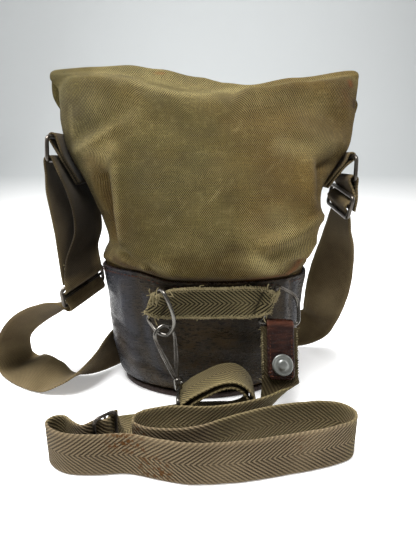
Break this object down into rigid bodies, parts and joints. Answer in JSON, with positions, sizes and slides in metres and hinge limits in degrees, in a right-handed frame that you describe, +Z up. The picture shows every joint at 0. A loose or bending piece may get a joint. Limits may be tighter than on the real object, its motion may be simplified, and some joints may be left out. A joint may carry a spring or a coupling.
{
  "type": "gas mask bag",
  "caption": "Soft canvas carrying bag sewn into an oval leather base, top folded to the back, with a ringed front band, snap hook, studded tab, and waist and shoulder straps.",
  "frame": {"origin": "middle of the sole's flat underside, on the floor", "axes": "+X to the wearer's-view right of the pictured face, +Y towards the back, +Z up"},
  "size_m": [0.3322, 0.2024, 0.2674],
  "materials": {
    "canvas": "worn plain-weave cotton canvas",
    "base_leather": "grained slate-black leather, worn",
    "sole_leather": "dark sole leather",
    "band_webbing": "herringbone cotton webbing",
    "waist_webbing": "herringbone cotton webbing",
    "shoulder_webbing": "plain cotton webbing",
    "tab_leather": "polished red-brown leather",
    "steel": "bare worn steel wire",
    "dark_steel": "blued steel wire with worn edges",
    "zinc": "dull zinc-grey cap"
  },
  "bodies": {
    "root": {"canvas_body": "canvas", "leather_base": "base_leather", "leather_sole": "sole_leather", "front_band": "band_webbing", "d_ring_left": "steel", "d_ring_right": "steel", "snap_hook": "steel", "leather_tab": "tab_leather", "snap_stud": "zinc", "waist_strap": "waist_webbing", "waist_slider": "dark_steel", "side_tab_left": "shoulder_webbing", "side_tab_right": "shoulder_webbing", "side_ring_left": "dark_steel", "side_ring_right": "dark_steel", "shoulder_strap": "shoulder_webbing", "strap_slider_left": "dark_steel", "strap_slider_right": "dark_steel"}
  },
  "joints": []
}
